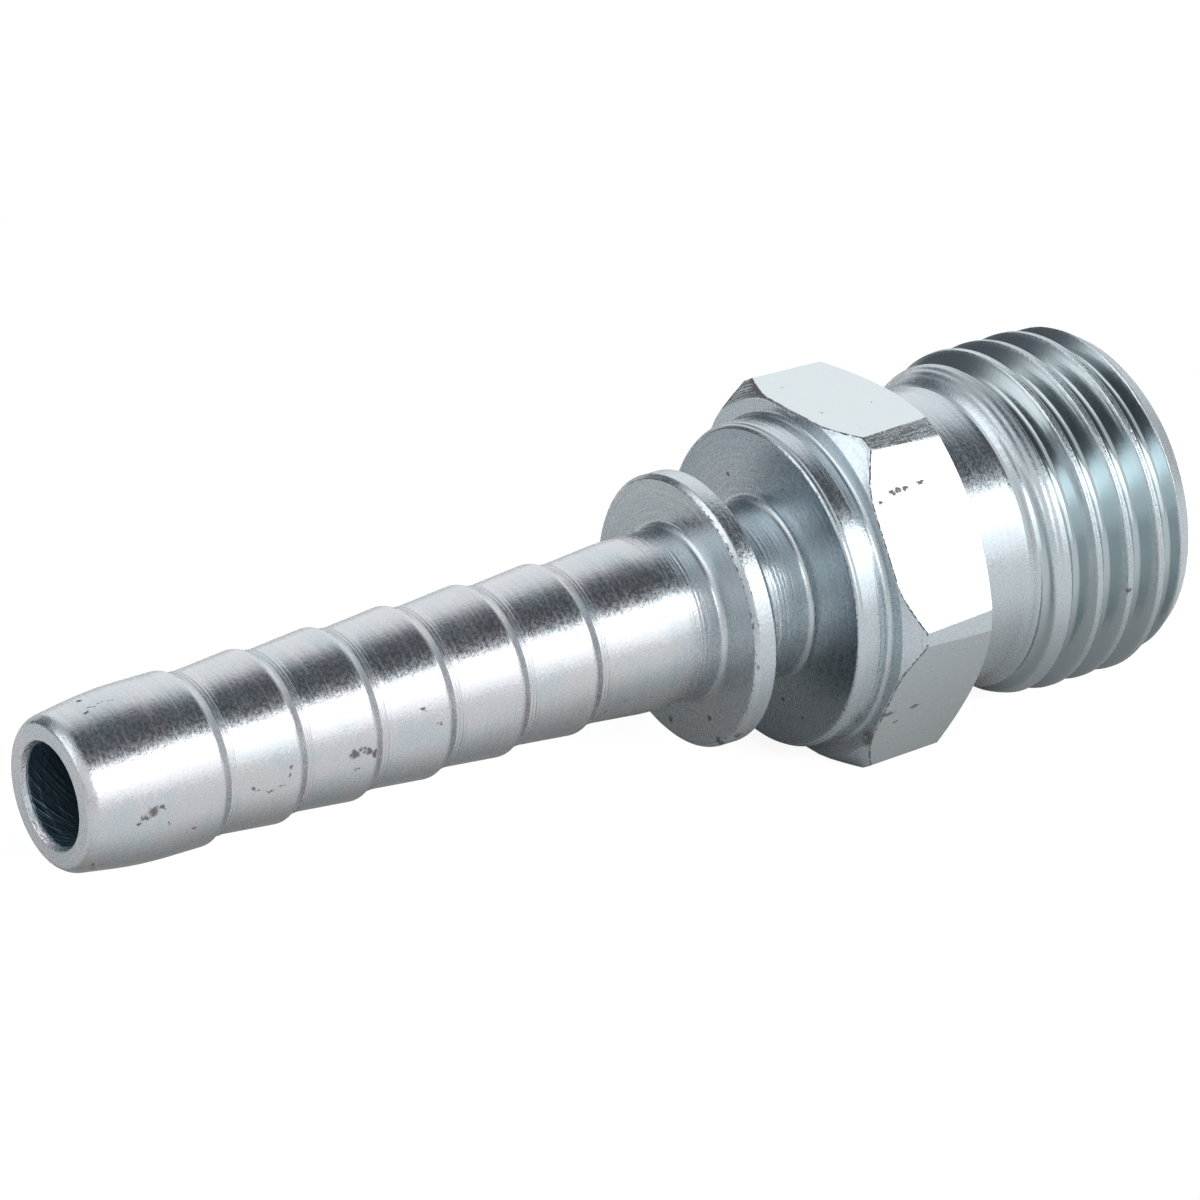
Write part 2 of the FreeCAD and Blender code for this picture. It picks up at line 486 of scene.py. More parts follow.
@dataclass
class Hexagon:
    """The spanner hexagon, whose ends are turned to cones that cut the flats in curved edges.

    Attributes:
        start: where its front face lies.
        inner: radius at which its front face starts, above the collar's fillet.
        outer: radius at which its rear face ends, at the relief.
        length: its length.
        half_across: half of the size across its flats.
        front_corner: radius of the turned corners at the front.
        rear_corner: their radius at the rear.
        front_face: radius at which the front chamfer starts.
        rear_face: radius at which the rear chamfer starts.
        rear_angle: angle between the rear chamfer and the axis.
        edge_break: least height of the front chamfer.
        edge_places: places of the columns beside a flat's edge, which lies at 1; the middle of the
            corner lies at 2.
        scuffed_corner: angle of the corner that is scuffed all over.
        scuffed_reach: angle to each side of it up to which it is.
        corner_scuffing: how far the other corners are scuffed.
        edge_stain: how dark the front edge is.
        edge_reach: angle to each side of a flat's middle up to which its front edge is dark.
        painted_shade_corner: angle of the corner whose ring grooves carry painted shade.
        painted_shade_reach: angle to each side of it up to which they do.
        groove_painted_shade: how dark that painted shade is.
        rings: number of low rings on the front chamfer.
        ring_pitch: distance between them.
        ring_height: their mean height.
    """

    start: float
    inner: float
    outer: float
    length: float = 4.43
    half_across: float = 7.0
    front_corner: float = 7.93
    rear_corner: float = 7.81
    front_face: float = 7.2
    rear_face: float = 6.85
    rear_angle: float = 60.0
    edge_break: float = 0.05
    edge_places: tuple[float, ...] = (0.92, 0.98, 1.0, 1.06, 1.35, 1.7, 2.0)
    scuffed_corner: float = 120.0
    scuffed_reach: float = 8.0
    corner_scuffing: float = 0.35
    edge_stain: float = 0.52
    edge_reach: float = 29.0
    painted_shade_corner: float = 60.0
    painted_shade_reach: float = 25.0
    groove_painted_shade: float = 0.75
    rings: int = 6
    ring_pitch: float = 0.11
    ring_height: float = 0.030

    @property
    def end(self) -> float:
        """Where its rear face lies."""
        return self.start + self.length

    @staticmethod
    def even_angles(columns: Columns) -> np.ndarray:
        """Returns each even column's angle from the middle of its flat."""
        return columns.angles % columns.side - columns.side / 2

    def side_angles(self, corner: np.ndarray, columns: Columns) -> np.ndarray:
        """Shifts the columns so that they run along the flats' edges.

        Args:
            corner: radius of the turned corner at each point.
            columns: the even columns that are shifted.

        Returns:
            Each point's angle from the middle of its flat.
        """
        even = self.even_angles(columns)
        half = columns.per_flat // 2
        start = np.linspace(0, self.edge_places[0], half - len(self.edge_places) + 2)
        places = np.concatenate([start[:-1], self.edge_places])
        half_side = columns.side / 2
        place = np.interp(np.abs(even) / half_side * half, np.arange(half + 1), places)
        edge = np.arccos(self.half_across / corner)
        on_flat = np.arctan(np.minimum(place, 1) * np.tan(edge))
        on_corner = edge + (np.maximum(place, 1) - 1) * (math.radians(half_side) - edge)
        return np.sign(even) * np.degrees(np.where(place <= 1, on_flat, on_corner))

    def corner_radius(self, along: np.ndarray) -> np.ndarray:
        """Returns the radius of the turned corners at places along the axis."""
        share = np.clip((along - self.start) / self.length, 0, 1)
        return self.front_corner + (self.rear_corner - self.front_corner) * share

    def outer_radius(self, along: np.ndarray, columns: Columns) -> np.ndarray:
        """Finds the radius on the flats and turned corners.

        Args:
            along: each column's place along the axis.
            columns: the even columns that are shifted.

        Returns:
            Each column's radius.
        """
        corner = self.corner_radius(along)
        side = np.radians(self.side_angles(corner, columns))
        return np.minimum(self.half_across / np.cos(side), corner)

    def chamfer_rings(self, face: np.ndarray, edge: np.ndarray) -> list[np.ndarray]:
        """Draws the low rings that the turning tool left on the front chamfer.

        Args:
            face: each column's radius where the chamfer starts.
            edge: each column's radius where it ends.

        Returns:
            The rings' (along, radius) for each column.
        """
        rings = []
        last = np.maximum(edge - 0.08, face)
        heights = self.ring_height * np.random.default_rng(11).uniform(0.5, 1.5, self.rings)
        for k in range(2 * self.rings):
            radius = self.front_face + 0.5 * self.ring_pitch * (k + 1)
            lift = np.where(radius < last, heights[k // 2] * (1 - k % 2), 0)
            held = np.clip(radius, face, last)
            rings.append(np.stack([self.start + held - face - lift, held], -1))
        return rings

    def turned_edges(self, columns: Columns) -> tuple[np.ndarray, ...]:
        """Finds where the cones at both ends meet each column's flat or corner.

        Args:
            columns: the even columns.

        Returns:
            One value per column for each of these: the radius at which the front chamfer starts, the
            place and the radius at which it ends, and the place and the radius at which the rear one starts.
        """
        slope = math.tan(math.radians(self.rear_angle))
        front_end, rear_end = np.full(columns.count, self.start), np.full(columns.count, self.end)
        tries = 4  # each try comes closer to the place where radius and place agree
        for _ in range(tries):
            front, rear = self.outer_radius(front_end, columns), self.outer_radius(rear_end, columns)
            face = np.minimum(self.front_face, front - self.edge_break)
            front_end = self.start + front - face
            rear_end = self.end - (rear - self.rear_face) / slope
        return face, front_end, front, rear_end, rear

    def rows(self, columns: Columns) -> Rows:
        """Builds the hexagon's surface.

        Args:
            columns: the even columns.

        Returns:
            The rows from the foot of the front face to the foot of the rear face.
        """
        face, front_end, front, rear_end, rear = self.turned_edges(columns)
        flat = np.ones(columns.count)
        rings = self.chamfer_rings(face, front)
        corners = np.array([
            np.stack([self.start * flat, self.inner * flat], -1),
            np.stack([self.start * flat, face], -1),
            *rings,
            np.stack([front_end, front], -1),
            np.stack([rear_end, rear], -1),
            np.stack([self.end * flat, self.rear_face * flat], -1),
            np.stack([self.end * flat, self.outer * flat], -1),
        ])
        sharp = (0,) * len(rings)
        points = round_corners(corners, (0, 0.03, *sharp, 0.06, 0.06, 0.04, 0), (1, 1, *sharp, 2, 2, 1, 1))
        along, radius = points[..., 0], points[..., 1]
        side = self.side_angles(self.corner_radius(along), columns)
        even = self.even_angles(columns)
        share = np.ones_like(along)
        share[0], share[-1] = 0, 0
        rows = Rows(along, radius, columns.angles + (side - even) * share)
        rows.skins = self.skins(rows, side, face, front_end)
        return rows

    def skins(
        self, rows: Rows, side: np.ndarray, face: np.ndarray, front_end: np.ndarray
    ) -> dict[Skin, np.ndarray]:
        """Finds how far each skin covers the surface.

        Args:
            rows: the surface.
            side: each point's angle from the middle of its flat.
            face: each column's radius where the front chamfer starts.
            front_end: each column's place where it ends.

        Returns:
            The shares of the skins.
        """
        along, radius, angle = rows.along, rows.radius, rows.angle
        near, exact = 0.02, 0.004  # how close a point lies to the surface that it counts to
        inner_rim, outer_rim = 0.03, 0.06  # what stays free of painted shade inside and outside the rings whose grooves carry it
        inside = (along > self.start + near) & (along < self.end - near)
        on_flat = inside & (np.abs(radius - self.half_across / np.cos(np.radians(side))) < exact)
        on_corner = inside & (radius > self.corner_radius(along) - near)
        scuffed = np.abs(angle - self.scuffed_corner) < self.scuffed_reach
        on_edge = (np.abs(along - front_end) < 2 * near) & (np.abs(side) < self.edge_reach)
        # Painted shade: near one corner the grooves between the front chamfer's rings are darkened.
        in_shaded_groove = np.abs(along - self.start - radius + face) < exact / 4
        in_shaded_groove &= (radius > self.front_face + inner_rim) & (radius < self.front_corner - outer_rim)
        in_shaded_groove &= np.abs(angle - self.painted_shade_corner) < self.painted_shade_reach
        return {
            Skin.DRAWN: on_flat.astype(float),
            Skin.SCUFFED: on_corner * np.where(scuffed, 1.0, self.corner_scuffing),
            Skin.STAINS_AND_PAINTED_SHADE: np.maximum(on_edge * self.edge_stain, in_shaded_groove * self.groove_painted_shade),
        }


@dataclass
class ThreadedEnd:
    """The relief behind the hexagon and the rolled male thread.

    Attributes:
        start: where the hexagon's rear face lies.
        relief: radius of the relief.
        relief_length: its length.
        crest: radius over the thread.
        pitch: the thread's pitch.
        flank: angle between a flank and a plane square to the axis.
        land: width of a crest.
        root_radius: radius of the round at the foot of the groove.
        phase: where a crest's middle lies at angle 0, counted from the tail's end face.
        length: from the relief to the end face.
        end_radius: radius at which the end chamfer meets the end face.
        end_angle: angle between the end chamfer and the axis.
        mouth: radius of the socket's mouth.
        seam_depth: depth of the seam that rolling leaves along the crest.
        seam_width: half of the seam's width.
        edge_blend: how softly a flank runs into the crest.
        turned_blend: how softly the blank's turned faces run into each other.
        cut_blend: how softly the groove runs out of the blank.
        rise: how high the rise behind the thread would come.
        rise_length: the length over which it flattens.
        lip: height of the tool's mark at the foot of the rise, and depth of the dip behind it.
        lip_place: where that mark lies, counted from the relief's end.
        dip_place: where the dip lies.
        lip_width: width of each of them.
        ripple: height of the ripples on the rise.
        ripple_pitch: distance between them.
        ripple_place: where they are highest.
        ripple_spread: distance over which they fade.
        land_scuffing: how far the crests are scuffed.
    """

    start: float
    relief: float = 5.93
    relief_length: float = 2.66
    crest: float = 7.0
    pitch: float = 1.5
    flank: float = 30.0
    land: float = 0.23
    root_radius: float = 0.30
    phase: float = 41.228
    length: float = 7.49
    end_radius: float = 6.35
    end_angle: float = 30.0
    mouth: float = 4.65
    seam_depth: float = 0.02
    seam_width: float = 0.02
    edge_blend: float = 0.04
    turned_blend: float = 0.04
    cut_blend: float = 0.03
    rise: float = 1.25
    rise_length: float = 1.2
    lip: float = 0.02
    lip_place: float = -0.02
    dip_place: float = 0.13
    lip_width: float = 0.05
    ripple: float = 0.008
    ripple_pitch: float = 0.27
    ripple_place: float = 0.75
    ripple_spread: float = 0.45
    land_scuffing: float = 0.45

    @property
    def cone_start(self) -> float:
        """Where the relief ends and the starting cone rises."""
        return self.start + self.relief_length

    @property
    def rising_end(self) -> float:
        """Distance from the relief at which the rise behind the thread reaches the crests."""
        return -self.rise_length * math.log(1 - (self.crest - self.relief) / self.rise)

    @property
    def end(self) -> float:
        """Where the end face lies."""
        return self.cone_start + self.length

    def blank(self, along: np.ndarray) -> np.ndarray:
        """Finds the radius of the blank before the thread is rolled.

        Args:
            along: places along the axis.

        Returns:
            The radius at each place.
        """
        past = along - self.cone_start
        rising = self.relief + self.rise * (1 - np.exp(-np.maximum(past, 0) / self.rise_length))
        lip, dip = (hump(past, place, self.lip_width) for place in (self.lip_place, self.dip_place))
        rising += self.lip * (lip - dip)
        spread = hump(past, self.ripple_place, self.ripple_spread)
        rising += self.ripple * spread * np.sin(2 * math.pi * past / self.ripple_pitch)
        falling = self.end_radius + (self.end - along) * math.tan(math.radians(self.end_angle))
        turned = smooth_least(rising, np.full_like(along, self.crest), self.turned_blend)
        return smooth_least(turned, falling, self.turned_blend)

    def groove(self, along: np.ndarray, angle: np.ndarray) -> np.ndarray:
        """Finds the radius of an endless thread.

        Args:
            along: places along the axis.
            angle: the angle round the axis at each of them.

        Returns:
            The radius at each point.
        """
        turn = (along - self.phase) / self.pitch - angle / FULL_TURN
        offset = (turn - np.round(turn)) * self.pitch
        away = np.abs(offset)
        tangent = math.tan(math.radians(self.flank))
        sine = math.sin(math.radians(self.flank))
        side = self.crest - (away - self.land / 2) / tangent
        apex = self.crest - (self.pitch - self.land) / 2 / tangent
        centre = apex + self.root_radius / sine
        across = np.minimum(np.abs(self.pitch / 2 - away), self.root_radius * 0.999)
        root = centre - np.sqrt(self.root_radius**2 - across**2)
        in_root = self.pitch / 2 - away < self.root_radius * math.cos(math.radians(self.flank))
        land = self.crest - self.seam_depth * hump(offset, 0, self.seam_width)
        return np.where(in_root, root, smooth_least(side, land, self.edge_blend))

    def surface(self, along: np.ndarray, angle: np.ndarray) -> np.ndarray:
        """Returns the radius of the threaded blank."""
        return smooth_least(self.blank(along), self.groove(along, angle), self.cut_blend)

    def section_offsets(self) -> np.ndarray:
        """Spaces the thread's rows: close on the crest's edges and wide on the flanks.

        Returns:
            The rows' places across one pitch, from a crest's middle.
        """
        half = self.land / 2
        edge = np.array([-0.055, -0.025, 0.005, 0.035]) + half
        seam = np.array([0.0, 0.5, 1.1]) * self.seam_width * 1.2
        foot = self.pitch / 2 - self.root_radius * math.cos(math.radians(self.flank))
        flank = np.linspace(half + 0.1, foot, 3)
        root = foot + (self.pitch / 2 - foot) * np.array([0.35, 0.7])
        right = np.concatenate([seam, edge, flank, root, [self.pitch / 2]])
        left = self.pitch - right[1:-1][::-1]
        return np.concatenate([right, left])

    def ring_rows(
        self, first: float, last: float, step: float, at: Sequence[float], columns: Columns
    ) -> Rows:
        """Builds rows square to the axis, for the stretches that turned edges cross.

        Args:
            first: where the stretch starts.
            last: where it ends.
            step: greatest distance between rows.
            at: places that get a row of their own.
            columns: the angles of the points.

        Returns:
            The stretch's rows.
        """
        stops = sorted({first, last, *at})
        places = [stops[0]]
        for low, high in zip(stops, stops[1:]):
            count = max(1, math.ceil((high - low) / step))
            places += [low + (high - low) * (k + 1) / count for k in range(count)]
        return self._dressed(columns.spread(np.array(places)), columns)

    def helical_rows(self, first: float, last: float, columns: Columns) -> Rows:
        """Builds rows that run along the thread, held at the ends of the stretch.

        Args:
            first: where the stretch starts.
            last: where it ends.
            columns: the angles of the points.

        Returns:
            The stretch's rows.
        """
        lead = self.pitch * columns.angles / FULL_TURN
        low = math.floor((first - self.phase) / self.pitch) - 1
        high = math.ceil((last - self.phase) / self.pitch) + 1
        offsets = self.section_offsets()
        places = np.concatenate([self.phase + k * self.pitch + offsets for k in range(low, high)])
        along = np.clip(places[:, None] + lead[None, :], first, last)
        moving = (along.max(1) > first) & (along.min(1) < last)
        rows = self._dressed(along[moving], columns)
        rows.climb = len(offsets)
        return rows

    def _dressed(self, along: np.ndarray, columns: Columns) -> Rows:
        """Lays rows on the thread's surface.

        Args:
            along: each point's place along the axis, rows by columns.
            columns: the angles of the points.

        Returns:
            The rows with their skins.
        """
        whole = 0.12  # depth below the blank from which the surface is wholly rolled
        clean = 0.4  # stretch before the end face whose crests stay clean
        angle = columns.repeated(len(along))
        radius = self.surface(along, angle)
        depth = np.clip((self.blank(along) - radius) / whole, 0, 1)
        on_land = (1 - depth) * (along > self.cone_start + self.rising_end) * (along < self.end - clean)
        return Rows(along, radius, angle, {Skin.ROLLED: depth, Skin.SCUFFED: on_land * self.land_scuffing})

    def rows(self, columns: Columns) -> list[Rows]:
        """Builds the relief, the thread and the end face.

        Args:
            columns: the angles of the points.

        Returns:
            The stretches from the hexagon's rear face to the mouth of the socket.
        """
        cone_top = self.cone_start + self.rising_end
        chamfer = self.end - (self.crest - self.end_radius) / math.tan(math.radians(self.end_angle))
        clear = 0.08  # what the rows along the thread leave free beside the turned edges
        first, second = cone_top + clear, chamfer - clear
        relief = turned_rows([
            Bend(self.start, self.relief),
            Bend(self.start + 0.03, self.relief),
            Bend(self.start + 0.1, self.relief),
            Bend(self.cone_start - 0.18, self.relief),
        ], columns)
        end_face = turned_rows([
            Bend(self.end, self.end_radius - 0.26),
            Bend(self.end, self.mouth + 0.1),
        ], columns)
        return [
            relief,
            self.ring_rows(self.cone_start - 0.1, first, 0.036, (self.cone_start,), columns),
            self.helical_rows(first, second, columns),
            self.ring_rows(second, self.end, 0.05, (chamfer, self.end - 0.02), columns),
            end_face,
        ]


@dataclass
class Passage:
    """The coned tube socket in the threaded end and the bore that runs from it to the tail.

    Attributes:
        end: where the end face lies.
        mouth: radius of the cone at the end face.
        socket: radius of the socket.
        depth: depth of the socket.
        bore: radius of the bore.
        cone_angle: angle between the cone at the mouth and the axis.
        drill_angle: angle between the drill's point and the axis.
        bore_rows: places of the rows in the bore, as shares of its length.
    """

    end: float
    mouth: float = 4.65
    socket: float = 4.1
    depth: float = 7.0
    bore: float = 2.0
    cone_angle: float = 12.0
    drill_angle: float = 59.0
    bore_rows: tuple[float, ...] = (0.75, 0.5, 0.25, 0.08, 0.02)

    def outline(self) -> list[Bend]:
        """Draws the socket and the bore.

        Returns:
            The bends from the end face inwards to the mouth of the tail.
        """
        floor = self.end - self.depth
        throat = floor - (self.socket - self.bore) / math.tan(math.radians(self.drill_angle))
        cone = self.end - (self.mouth - self.socket) / math.tan(math.radians(self.cone_angle))
        return [
            Bend(self.end, self.mouth, 0.08, 2),
            Bend(cone, self.socket, 0.2, 2),
            Bend(floor, self.socket, 0.1, 2),
            Bend(throat, self.bore, 0.1, 2),
            *(Bend(throat * share, self.bore) for share in self.bore_rows),
        ]


@dataclass(frozen=True)
class Covering:
    """A part of the surface that wears a skin all round.

    Attributes:
        kind: the skin.
        start: where it starts along the axis.
        end: where it ends.
        inner: its least radius.
        outer: its greatest radius.
        share: how far the skin covers it.
    """

    kind: Skin
    start: float
    end: float
    inner: float
    outer: float
    share: float

    def over(self, along: np.ndarray, radius: np.ndarray) -> np.ndarray:
        """Returns the share at each point."""
        inside = (along >= self.start) & (along <= self.end) & (radius >= self.inner) & (radius <= self.outer)
        return inside * self.share


@dataclass(frozen=True)
class Pit:
    """A small hollow in the plating that holds dark dirt.

    Attributes:
        along: its place along the axis.
        radius: its distance from the axis.
        angle: its angle round the axis.
        length: half of its size along the axis.
        width: half of its size across the axis.
    """

    along: float
    radius: float
    angle: float
    length: float
    width: float

    @property
    def centre(self) -> tuple[float, float, float]:
        """Its centre, with the axis as X and the tail's end face at 0."""
        turn = math.radians(self.angle)
        return self.along, self.radius * math.cos(turn), self.radius * math.sin(turn)

    @property
    def shrink(self) -> tuple[float, float, float]:
        """What a distance from its centre is multiplied by to reach 1 at its edge."""
        return 1 / self.length, 1 / self.width, 1 / self.width


TAIL_PITS = (
    Pit(2.45, 3.34, 180.5, 0.20, 0.17),
    Pit(2.15, 3.30, 184.0, 0.14, 0.08),
    Pit(1.90, 3.26, 187.0, 0.10, 0.07),
    Pit(2.85, 3.39, 179.0, 0.11, 0.07),
    Pit(3.10, 3.40, 191.5, 0.08, 0.07),
    Pit(4.00, 3.40, 204.0, 0.08, 0.05),
    Pit(4.28, 3.40, 201.5, 0.11, 0.04),
    Pit(0.42, 3.05, 223.0, 0.07, 0.14),
    Pit(0.55, 3.07, 229.0, 0.08, 0.10),
    Pit(0.78, 3.10, 224.0, 0.09, 0.07),
    Pit(1.46, 3.20, 97.4, 0.12, 0.05),
    Pit(1.80, 3.26, 94.5, 0.13, 0.04),
    Pit(2.20, 3.31, 93.5, 0.15, 0.04),
    Pit(2.60, 3.36, 95.4, 0.10, 0.05),
    Pit(1.75, 3.26, 80.0, 0.16, 0.05),
)
BARB_PITS = (
    Pit(6.85, 3.20, 186.5, 0.06, 0.08),
    Pit(7.15, 3.23, 189.0, 0.16, 0.025),
    Pit(7.60, 3.27, 191.5, 0.18, 0.03),
    Pit(8.05, 3.32, 189.5, 0.14, 0.03),
    Pit(8.48, 3.36, 177.5, 0.07, 0.07),
    Pit(8.36, 3.35, 183.5, 0.04, 0.10),
    Pit(11.25, 3.31, 182.0, 0.16, 0.16),
    Pit(11.62, 3.34, 179.5, 0.14, 0.06),
    Pit(11.85, 3.36, 182.5, 0.20, 0.09),
    Pit(12.12, 3.38, 185.5, 0.10, 0.14),
    Pit(11.45, 3.33, 194.0, 0.14, 0.03),
    Pit(14.40, 3.33, 166.0, 0.06, 0.06),
    Pit(15.10, 3.36, 178.0, 0.11, 0.04),
    Pit(21.47, 3.40, 219.7, 0.10, 0.05),
    Pit(23.13, 3.20, 217.7, 0.08, 0.08),
    Pit(23.82, 3.25, 208.2, 0.08, 0.06),
)
HEAD_PITS = (
    Pit(28.15, 4.73, 275.0, 0.10, 0.12),
    Pit(28.15, 4.33, 238.9, 0.10, 0.12),
    Pit(28.00, 3.62, 186.3, 0.08, 0.07),
    Pit(28.23, 5.35, 237.6, 0.12, 0.22),
    Pit(28.40, 5.45, 226.0, 0.12, 0.20),
    Pit(28.20, 5.36, 184.0, 0.08, 0.08),
    Pit(32.25, 4.59, 60.1, 0.10, 0.08),
    Pit(32.25, 4.51, 252.0, 0.10, 0.07),
    Pit(32.25, 4.52, 240.5, 0.10, 0.05),
    Pit(32.25, 4.79, 224.0, 0.10, 0.05),
    Pit(32.25, 5.38, 240.0, 0.10, 0.06),
    Pit(32.25, 5.44, 258.0, 0.10, 0.05),
    Pit(34.75, 7.25, 135.0, 0.15, 0.09),
    Pit(35.05, 7.25, 134.4, 0.15, 0.08),
    Pit(35.40, 7.25, 134.9, 0.13, 0.08),
    Pit(36.10, 7.27, 134.3, 0.18, 0.06),
    Pit(34.10, 7.21, 137.0, 0.10, 0.07),
    Pit(33.95, 7.00, 212.0, 0.30, 0.10),
    Pit(35.25, 7.00, 212.0, 0.22, 0.09),
    Pit(34.60, 7.05, 218.0, 0.12, 0.06),
    Pit(33.72, 7.22, 225.0, 0.06, 0.45),
    Pit(36.76, 7.07, 97.8, 0.09, 0.025),
    Pit(34.82, 7.33, 72.6, 0.07, 0.02),
    Pit(34.56, 7.04, 95.8, 0.03, 0.08),
    Pit(34.95, 7.60, 112.5, 0.09, 0.03),
    Pit(44.90, 6.98, 188.3, 0.09, 0.12),
)
COVERINGS = (
    Covering(Skin.SCUFFED, -0.01, 0.32, 2.02, 2.16, 0.60),
    Covering(Skin.SCUFFED, -0.01, 0.45, 2.70, 3.12, 0.35),
    Covering(Skin.SCUFFED, 28.34, 29.04, 5.43, 5.46, 0.35),
    # The collar's face: a real blue tint, darkened further as painted shade.
    Covering(Skin.BLUE_TINT_AND_PAINTED_SHADE, 32.24, 32.26, 3.90, 6.35, 0.80),
    Covering(Skin.STAINS_AND_PAINTED_SHADE, 28.12, 28.20, 5.20, 5.33, 0.42),
    Covering(Skin.STAINS_AND_PAINTED_SHADE, 28.30, 28.36, 5.40, 5.46, 0.36),
    Covering(Skin.STAINS_AND_PAINTED_SHADE, 32.24, 32.30, 6.25, 6.36, 0.40),
)


@dataclass
class ConnectorBody:
    """The whole connector as one closed mesh.

    Attributes:
        columns: the angles at which the rows have points.
        tail: the barbed end.
        middle: flange, neck and collar.
        coverings: the parts that wear a skin all round.
    """

    columns: Columns = Columns()
    tail: HoseTail = field(default_factory=HoseTail)
    middle: FlangeAndCollar = field(default_factory=FlangeAndCollar)
    coverings: tuple[Covering, ...] = COVERINGS

    def rows(self) -> list[Rows]:
        """Builds the whole surface.

        Returns:
            The stretches from the mouth of the bore over the outside and back through the bore.
        """
        above_fillet = self.middle.collar + self.middle.hexagon_fillet
        hexagon = Hexagon(self.middle.end, inner=above_fillet, outer=ThreadedEnd.relief)
        thread = ThreadedEnd(hexagon.end)
        passage = Passage(thread.end)
        closing = Bend(self.middle.end, hexagon.inner)
        first = self.tail.outline() + self.middle.outline() + [closing]
        opening = Bend(self.tail.mouth_depth + 0.1, self.tail.bore)
        last = [Bend(thread.end, thread.mouth + 0.1), *passage.outline()]
        return [
            turned_rows([opening, *first], self.columns),
            hexagon.rows(self.columns),
            *thread.rows(self.columns),
            turned_rows(last, self.columns),
        ]

    def build(self, tail_end: float, axis_height: float) -> bpy.types.Object:
        """Builds the mesh, with its skins as attributes.

        Args:
            tail_end: X of the tail's end face, in metres.
            axis_height: height of the axis, in metres.

        Returns:
            The connector's object.
        """
        stretches = self.rows()
        along = np.concatenate([s.along for s in stretches])
        radius = np.concatenate([s.radius for s in stretches])
        angle = np.radians(np.concatenate([s.angle for s in stretches]))
        points = np.stack([
            tail_end + along * MM,
            radius * np.cos(angle) * MM,
            axis_height + radius * np.sin(angle) * MM,
        ], -1).reshape(-1, 3)
        mesh = bpy.data.meshes.new("hose_connector")
        mesh.from_pydata(points.tolist(), [], self._faces(stretches).tolist())
        for kind in Skin:
            values = np.concatenate([s.skin(kind) for s in stretches])
            for covering in self.coverings:
                if covering.kind is kind:
                    values = np.maximum(values, covering.over(along, radius))
            mesh.attributes.new(kind.value, "FLOAT", "POINT").data.foreach_set("value", values.ravel())
        self._close(mesh)
        body = bpy.data.objects.new("hose_connector", mesh)
        bpy.context.scene.collection.objects.link(body)
        return body

    def _faces(self, stretches: list[Rows]) -> np.ndarray:
        """Joins the rows' points to faces; the last row meets the first one.

        Args:
            stretches: the rows.

        Returns:
            The numbers of each face's four points.
        """
        count, width = sum(len(s.along) for s in stretches), self.columns.count
        here = np.arange(count * width).reshape(count, width)
        beside = np.roll(here, -1, axis=1)
        beside[:, -1] = self._met_after_a_turn(stretches) * width
        corners = [here, beside, np.roll(beside, -1, axis=0), np.roll(here, -1, axis=0)]
        return np.stack(corners, -1).reshape(-1, 4)

    def _met_after_a_turn(self, stretches: list[Rows]) -> np.ndarray:
        """Finds where the rows that run along the thread lead.

        Args:
            stretches: the rows.

        Returns:
            For each row, the number of the row that it meets after a full turn.
        """
        met = []
        start = 0
        for stretch in stretches:
            end = start + len(stretch.along)
            met.append(np.minimum(np.arange(start, end) + stretch.climb, end if stretch.climb else end - 1))
            start = end
        return np.concatenate(met)

    def _close(self, mesh: bpy.types.Mesh) -> None:
        """Joins the points that lie on each other and drops the faces that they leave without area.

        Args:
            mesh: the mesh that is closed.
        """
        work = bmesh.new()
        work.from_mesh(mesh)
        bmesh.ops.remove_doubles(work, verts=work.verts, dist=0.0005 * MM)
        bmesh.ops.dissolve_degenerate(work, edges=work.edges, dist=0.0003 * MM)
        for face in work.faces:
            face.smooth = True
        work.to_mesh(mesh)
        work.free()


class Value:
    """A socket of a shader tree that takes part in Python arithmetic."""

    def __init__(self, shader: Shader, socket: bpy.types.NodeSocket) -> None:
        """Wraps one output socket."""
        self.shader = shader
        self.socket = socket

    def _math(self, operation: str, *terms: Any) -> Value:
        """Adds a Math node."""
        return self.shader.node("ShaderNodeMath", {"operation": operation}, list(terms))

    def __add__(self, other: Any) -> Value:
        """Sum."""
        return self._math("ADD", self, other)

    __radd__ = __add__

    def __sub__(self, other: Any) -> Value:
        """Difference."""
        return self._math("SUBTRACT", self, other)

    def __rsub__(self, other: Any) -> Value:
        """Reflected difference."""
        return self._math("SUBTRACT", other, self)

    def __mul__(self, other: Any) -> Value:
        """Product."""
        return self._math("MULTIPLY", self, other)

    __rmul__ = __mul__

    def __truediv__(self, other: Any) -> Value:
        """Quotient."""
        return self._math("DIVIDE", self, other)

    def __rtruediv__(self, other: Any) -> Value:
        """Reflected quotient."""
        return self._math("DIVIDE", other, self)

    def __abs__(self) -> Value:
        """Size without its sign."""
        return self._math("ABSOLUTE", self)

    def beside(self, output: str | int) -> Value:
        """Another output of the same node, by name or number."""
        return Value(self.shader, self.socket.node.outputs[output])

    def least(self, other: Any) -> Value:
        """The lesser of two values."""
        return self._math("MINIMUM", self, other)

    def most(self, other: Any) -> Value:
        """The greater of two values."""
        return self._math("MAXIMUM", self, other)

    def root(self) -> Value:
        """Square root."""
        return self._math("SQRT", self)

    def ramp(self, low: float, high: float) -> Value:
        """Rises smoothly from 0 at low to 1 at high."""
        inputs = {"Value": self, "From Min": low, "From Max": high}
        return self.shader.node("ShaderNodeMapRange", {"interpolation_type": "SMOOTHSTEP"}, inputs)


